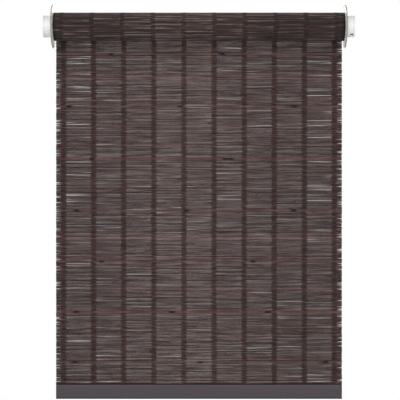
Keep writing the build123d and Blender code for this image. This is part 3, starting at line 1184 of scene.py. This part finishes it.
@dataclass
class ReedMat:
    """The reeds, slats and warp threads of the mat, hanging and on the roll."""

    weave: Weave
    bar_travel: float
    section_shoulder: float = 0.22
    slat_station: float = 3.0 * MM
    knot_half_length: float = 4.6 * MM
    knot_depth: float = 1.7
    knot_swell: float = 0.3 * MM
    # Slow waves of a slat's tone: size, radians a metre, and shift from row to row.
    slat_waves: tuple[tuple[float, int, int], ...] = ((0.14, 41, 1), (0.1, 97, 2))
    red_on_band: float = -0.12
    tip_darkness: float = 0.3
    # Knots of each hanging slat, the uppermost first, in mm from the mat's left edge.
    knots: tuple[tuple[float, ...], ...] = (
        (115, 349),
        (27, 260, 500),
        (75, 355, 367),
        (43, 274, 499),
        (95, 413.5),
        (42, 243, 445),
        (39, 303, 566),
    )
    # Real threads are about 0.9 mm apart, too fine to show, so half as many are drawn at twice the pitch.
    threads_per_band: int = 5
    thread_pitch: float = 1.8 * MM
    thread_crown: float = 0.22 * MM
    cell_lift: float = 0.16 * MM
    band_skin: float = 0.08 * MM
    # Painted shade in the valleys where the band dips between reeds.
    valley_shade_tone: float = 0.1
    cell_tones: tuple[float, float] = (0.05, 0.85)
    roll_darkness: float = 0.2
    pinch: float = 0.2 * MM

    def ring(self, x: float, upper: float, lower: float, thickness: float) -> list[Point]:
        """Outline of a reed at one place along it: two flat faces with bevelled edges.

        Args:
            x: place along the roller.
            upper: upper edge along the mat's path.
            lower: lower edge along the mat's path.
            thickness: the reed's thickness.

        Returns:
            Six points, round the reed.
        """
        path = self.weave.path
        shoulder = self.section_shoulder * (upper - lower)
        half = thickness / 2
        return [
            path.point(x, lower, 0.0),
            path.point(x, lower + shoulder, -half),
            path.point(x, upper - shoulder, -half),
            path.point(x, upper, 0.0),
            path.point(x, upper - shoulder, half),
            path.point(x, lower + shoulder, half),
        ]

    def draft_reeds(self, rows: list[int]) -> MeshDraft:
        """Drafts the plain and fine red reeds of some rows.

        Args:
            rows: the rows' numbers.

        Returns:
            The draft of all of them.
        """
        draft = MeshDraft()
        for row in rows:
            reed = self.weave.reeds[row]
            if reed.kind is ReedKind.SLAT:
                continue
            rings, shades = [], []
            for station in self.weave.stations(reed):
                upper, lower = self.weave.edges(row, station)
                rings.append(self.ring(station.x, upper, lower, reed.thickness))
                tone = reed.tone + reed.bay_tones[station.bay]
                if station.opening is not None:
                    # Painted light and shade across the bay from the reed's tilt.
                    tone += reed.bay_tilts[station.bay] * (station.opening - 1)
                if station.opening is None and reed.kind is ReedKind.FINE_RED:
                    tone = reed.tone + self.red_on_band
                elif station.opening is not None and station.bay in (0, self.weave.band_count):
                    tone -= self.tip_darkness * station.lean
                shades.append(Shade(min(1.0, max(0.0, tone)), reed.blush))
            draft.add_bar(rings, shades)
        return draft

    def draft_slats(self, rows: list[int]) -> MeshDraft:
        """Drafts the slats of some rows, in stations close enough to draw their knots.

        Args:
            rows: the rows' numbers; those of other reeds are passed over.

        Returns:
            The draft of all of them.
        """
        draft = MeshDraft()
        weave = self.weave
        hanging = [
            row for row, reed in enumerate(weave.reeds) if reed.kind is ReedKind.SLAT and reed.middle < 0
        ]
        for row in rows:
            reed = weave.reeds[row]
            if reed.kind is not ReedKind.SLAT:
                continue
            places = self.knots[hanging.index(row)] if row in hanging else ()
            count = round((reed.right_end - reed.left_end) / self.slat_station)
            rings, shades = [], []
            for index in range(count + 1):
                x = reed.left_end + (reed.right_end - reed.left_end) * index / count
                dark = sum(
                    math.exp(-(((x - weave.left - place * MM) / self.knot_half_length) ** 2))
                    for place in places
                )
                dark *= self.knot_depth
                swell = self.knot_swell * min(1.0, dark)
                rings.append(self.ring(x, reed.top + swell / 2, reed.foot - swell / 2, reed.thickness))
                wave = sum(size * math.sin(x * rate + row * step) for size, rate, step in self.slat_waves)
                on_band = min(abs(x - band) for band in weave.bands) < weave.band_width / 2
                wave += self.red_on_band if on_band else 0.0
                shades.append(Shade(reed.tone + wave, reed.blush, min(1.0, dark)))
            draft.add_bar(rings, shades)
        return draft

    def draft_bands(self, rows: list[int], bands: list[float]) -> MeshDraft:
        """Drafts woven bands that wrap both faces of the reeds of some rows, and pass behind every slat.

        Args:
            rows: rows in order, with none left out.
            bands: middle of each band.

        Returns:
            The draft of all bands.
        """
        draft = MeshDraft()
        for band in bands:
            rings, shades = [], []
            for row in rows:
                reed = self.weave.reeds[row]
                start = reed.top - (self.weave.cut_gap / 2 if row == rows[0] else 0.0)
                rings.append(self.band_ring(band, start, -self.pinch, self.pinch, 0, False))
                half = reed.thickness / 2 + self.band_skin
                front, back = -half, half
                if reed.kind is not ReedKind.PLAIN:
                    side = -1 if reed.middle > 0 else 1
                    front, back = sorted((side * half, side * (half + self.band_skin)))
                rings.append(self.band_ring(band, reed.middle, front, back, row, True))
                cell = self.weave.choice.uniform(*self.cell_tones)
                darker = self.roll_darkness if reed.middle > 0 else 0.0
                # The valley between reeds gets painted shade, and each cell gets its own tone.
                shades += [Shade(self.valley_shade_tone - darker), Shade(cell - darker)]
            end = self.weave.reeds[rows[-1]].foot + self.weave.cut_gap / 2
            rings.append(self.band_ring(band, end, -self.pinch, self.pinch, 0, False))
            shades.append(Shade(self.valley_shade_tone))
            draft.add_bar(rings, shades)
        return draft

    def band_ring(
        self, band: float, along: float, front: float, back: float, row: int, woven: bool
    ) -> list[Point]:
        """Outline of a band: its threads' crowns and the valleys between them, on both faces.

        Args:
            band: middle of the band.
            along: place on the mat's path.
            front: distance of the front face from the mat's middle.
            back: distance of the back face from the mat's middle.
            row: number of the reed, which sets the threads that lie on top.
            woven: whether threads stand proud here, as they do over a reed.

        Returns:
            Points round the band.
        """
        path = self.weave.path
        count = self.threads_per_band
        start = band - count * self.thread_pitch / 2
        front_face, back_face = [], []
        for index in range(2 * count + 1):
            x = start + index * self.thread_pitch / 2
            crown = self.thread_crown if index % 2 else 0.0
            if index % 2 and woven and (row + index // 2) % 2:
                crown += self.cell_lift
            front_face.append(path.point(x, along, front - crown))
            back_face.append(path.point(x, along, back + crown))
        return front_face + back_face[::-1]

    def build(self) -> None:
        """Builds the mat in the parts that move together: the roll, the hanging mat and its foot."""
        weave = self.weave
        inner_start = weave.path.length(1.0)
        wound_all = weave.path.length(weave.path.turns) + 1.0
        split = weave.reeds[weave.split_row].top
        middle = weave.bands[len(weave.bands) // 2]
        halves = (
            ("left", [band for band in weave.bands if band < middle]),
            ("right", [band for band in weave.bands if band >= middle]),
        )

        inner = self.draft_reeds(weave.rows(inner_start, wound_all)).piece("wound_reeds_inner", REED)
        inner_slats = self.draft_slats(weave.rows(inner_start, wound_all)).piece("wound_slats_inner", REED)
        for piece in (inner, inner_slats):
            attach(piece, "roller")
            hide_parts("wound_mat")

        outer_rows = weave.rows(0.0, inner_start)
        outer = [
            self.draft_reeds(outer_rows).piece("wound_reeds_outer", REED),
            self.draft_slats(outer_rows).piece("wound_slats_outer", REED),
            self.draft_bands(outer_rows, weave.bands).piece("wound_warp_outer", WARP),
        ]
        for piece in outer:
            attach(piece, "ends")

        hanging_rows = weave.rows(split, 0.0)
        hanging = [
            self.draft_reeds(hanging_rows).piece("hanging_reeds", REED),
            self.draft_slats(hanging_rows).piece("hanging_slats", REED),
        ]
        for piece in hanging:
            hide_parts("hanging_mat")
        for side, bands in halves:
            threads = self.draft_bands(hanging_rows, bands).piece(f"hanging_warp_{side}", WARP)
            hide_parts("warp_bands")
            hanging.append(threads)
        for piece in hanging:
            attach(piece, "ends")
            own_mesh(piece)

        foot_rows = weave.rows(weave.foot - 1.0, split)
        foot = self.draft_reeds(foot_rows).piece("foot_reeds", REED)
        foot_warp = self.draft_bands(foot_rows, weave.bands).piece("foot_warp", WARP)
        for piece in (foot, foot_warp):
            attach(piece, "bar")


@dataclass
class HardParts:
    """The moulded, drawn and extruded parts, which keep their solids and get soft edges and finishes."""

    # Finish, width of the rounded edges in mm, and the parts that have them.
    finishes: tuple[tuple[Finish, float, tuple[str, ...]], ...] = (
        (CLEAR_PLASTIC, 0.45, ("idle_disc", "drive_disc")),
        (HUB_PLASTIC, 1.6, ("idle_housing", "drive_housing")),
        (WHITE_PLASTIC, 0.2, ("idle_axle", "drive_spindle")),
        (GREY_NYLON, 0.15, ("chain_wheel", "idle_plug", "drive_plug", "fixing_strip", "clamp_strip")),
        (TUBE_METAL, 0.15, ("roller_tube",)),
        (SPRING_STEEL, 0.0, ("wrap_spring", "idle_clip", "drive_clip")),
        (RAIL_COAT, 1.1, ("bottom_rail",)),
        (DARK_NYLON, 0.3, ("rail_cap_left", "rail_cap_right")),
    )
    seam_mm: float = 0.002
    sharp_angle: float = math.radians(40)

    def soften(self, part: bpy.types.Object, width_mm: float) -> None:
        """Rounds a part's sharp edges with modifiers, so that they catch the light.

        Args:
            part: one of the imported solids.
            width_mm: width of the rounding.
        """
        weld = part.modifiers.new("close_seams", "WELD")
        weld.merge_threshold = self.seam_mm * MM
        bevel = part.modifiers.new("soft_edges", "BEVEL")
        bevel.width = width_mm * MM
        bevel.segments = 2
        bevel.limit_method = "ANGLE"
        bevel.angle_limit = self.sharp_angle
        bevel.use_clamp_overlap = True
        part.modifiers.new("even_light", "WEIGHTED_NORMAL")

    def build(self) -> None:
        """Dresses every part."""
        for finish, edge_mm, names in self.finishes:
            for name in names:
                part = frame["nodes"][name]
                finish.dress(part)
                if edge_mm:
                    self.soften(part, edge_mm)
                log.info("%s: %s", name, finish.name)


@dataclass
class Studio:
    """Floor, lamps, world and camera."""

    camera_place: Point = (0.3256, -2.663, -0.361)
    # Half of the frame's width over the focal length, both in pixels.
    half_view: float = 200 / 1280
    floor_level: float = -1.3
    floor_radius: float = 2.8
    floor_sides: int = 96
    floor_colour: str = "#f4f4f4"
    floor_shadow: str = "#f1f1f1"
    floor_grain_mm: float = 8.0
    floor_roughness: float = 0.9
    front_light: float = 1.12
    back_light: float = 0.4
    ground_light: float = 0.75
    overhead_light: float = 0.48
    # Where the world's light starts and ends its change, as parts of a direction's Y and Z.
    front_to_back: tuple[float, float] = (-0.9, 0.3)
    ground_to_level: tuple[float, float] = (-0.8, 0.1)
    key_place: Point = (-0.6, -3.2, 0.5)
    key_size: float = 2.4
    key_power: float = 34.0
    fill_place: Point = (1.8, -2.4, -0.2)
    fill_size: float = 2.0
    fill_power: float = 11.0
    rear_place: Point = (0.6, 3.0, 0.6)
    rear_power: float = 28.0
    aim: Point = (0.3235, 0.0, -0.35)

    def world(self) -> None:
        """Makes a white world whose light on the object is lower than what the camera and glass see."""
        world = bpy.data.worlds.new("studio")
        bpy.context.scene.world = world
        world.use_nodes = True
        tree = world.node_tree
        rays = add_node(tree, "ShaderNodeLightPath")
        either = add_node(
            tree, "ShaderNodeMath", {"operation": "MAXIMUM"},
            {0: rays.outputs["Is Camera Ray"], 1: rays.outputs["Is Transmission Ray"]},
        )
        seen = add_node(
            tree, "ShaderNodeMath", {"operation": "MAXIMUM"},
            {0: either.outputs["Value"], 1: rays.outputs["Is Glossy Ray"]},
        )
        place = add_node(tree, "ShaderNodeTexCoord")
        parts = add_node(tree, "ShaderNodeSeparateXYZ", {}, {"Vector": place.outputs["Generated"]})
        depth = add_node(
            tree, "ShaderNodeMapRange", {},
            {
                "Value": parts.outputs["Y"],
                "From Min": self.front_to_back[0],
                "From Max": self.front_to_back[1],
                "To Min": self.front_light,
                "To Max": self.back_light,
            },
        )
        height = add_node(
            tree, "ShaderNodeMapRange", {},
            {
                "Value": parts.outputs["Z"],
                "From Min": self.ground_to_level[0],
                "From Max": self.ground_to_level[1],
                "To Min": self.ground_light,
            },
        )
        overhead = add_node(
            tree, "ShaderNodeMapRange", {},
            {
                "Value": parts.outputs["Z"],
                "From Min": self.ground_to_level[1],
                "To Min": 1.0,
                "To Max": self.overhead_light,
            },
        )
        level = add_node(
            tree, "ShaderNodeMath", {"operation": "MULTIPLY"},
            {0: height.outputs["Result"], 1: overhead.outputs["Result"]},
        )
        room = add_node(
            tree, "ShaderNodeMath", {"operation": "MULTIPLY"},
            {0: depth.outputs["Result"], 1: level.outputs["Value"]},
        )
        strength = add_node(
            tree, "ShaderNodeMapRange", {},
            {"Value": seen.outputs["Value"], "To Min": room.outputs["Value"], "To Max": 1.0},
        )
        background = tree.nodes["Background"]
        background.inputs["Color"].default_value = (1.0, 1.0, 1.0, 1.0)
        tree.links.new(strength.outputs["Result"], background.inputs["Strength"])

    def lamp(self, name: str, place: Point, size: float, power: float) -> None:
        """Adds a large soft lamp that points at the middle of the blind.

        Args:
            name: the lamp's name.
            place: where it stands.
            size: diameter of its disc.
            power: power in watts.
        """
        light = bpy.data.lights.new(name, "AREA")
        light.shape = "DISK"
        light.size = size
        light.energy = power
        lamp = bpy.data.objects.new(name, light)
        lamp.location = place
        lamp.rotation_euler = (Vector(self.aim) - Vector(place)).to_track_quat("-Z", "Y").to_euler()
        bpy.context.scene.collection.objects.link(lamp)

    def floor(self) -> None:
        """Lays a plain pale floor under the blind."""
        centre_x, centre_y, _ = self.aim
        turns = [2 * math.pi * side / self.floor_sides for side in range(self.floor_sides)]
        rim = [
            (centre_x + self.floor_radius * math.cos(turn), centre_y + self.floor_radius * math.sin(turn),
             self.floor_level)
            for turn in turns
        ]
        mesh = bpy.data.meshes.new("studio_floor")
        mesh.from_pydata(rim, [], [tuple(range(self.floor_sides))])
        floor = bpy.data.objects.new("studio_floor", mesh)
        bpy.context.scene.collection.objects.link(floor)
        paper = bpy.data.materials.new("studio_paper")
        paper.use_nodes = True
        surface = paper.node_tree.nodes["Principled BSDF"]
        fibres = grains(paper.node_tree, self.floor_grain_mm)
        shade = add_node(paper.node_tree, "ShaderNodeValToRGB", {}, {"Fac": fibres.outputs["Fac"]})
        set_ramp(shade, [(0.3, self.floor_shadow), (0.7, self.floor_colour)])
        paper.node_tree.links.new(shade.outputs["Color"], surface.inputs["Base Color"])
        surface.inputs["Roughness"].default_value = self.floor_roughness
        mesh.materials.append(paper)

    def camera(self) -> None:
        """Puts the camera level in front of the blind, at the photograph's distance and angle."""
        lens = bpy.data.cameras.new("front_camera")
        lens.sensor_fit = "HORIZONTAL"
        lens.angle = 2 * math.atan(self.half_view)
        lens.clip_start = 0.05
        camera = bpy.data.objects.new("front_camera", lens)
        camera.location = self.camera_place
        camera.rotation_euler = (math.radians(90), 0.0, 0.0)
        bpy.context.scene.collection.objects.link(camera)
        bpy.context.scene.camera = camera

    def build(self) -> None:
        """Sets up the whole studio."""
        bpy.context.scene.view_settings.view_transform = "Standard"
        self.world()
        self.lamp("key_lamp", self.key_place, self.key_size, self.key_power)
        self.lamp("fill_lamp", self.fill_place, self.fill_size, self.fill_power)
        self.lamp("rear_lamp", self.rear_place, self.fill_size, self.rear_power)
        self.floor()
        self.camera()


def mat_weave() -> Weave:
    """Reads the mat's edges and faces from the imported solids.

    Returns:
        The weave between them.
    """
    (left, front, foot), (right, rear, _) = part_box("hanging_mat")
    rail_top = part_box("bottom_rail")[1][2]
    path = MatPath((front + rear) / 2, TURN_PITCH, TURNS_ON_TUBE)
    return Weave(left, right, foot, rail_top, path)


def main() -> None:
    """Builds the mat, the hard parts and the studio."""
    logging.basicConfig(level=logging.INFO, format="%(message)s")
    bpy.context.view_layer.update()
    ReedMat(mat_weave(), frame["record"]["behaviour"]["joints"][1]["range_m"][1]).build()
    HardParts().build()
    Studio().build()


if __name__ == "__main__":
    main()
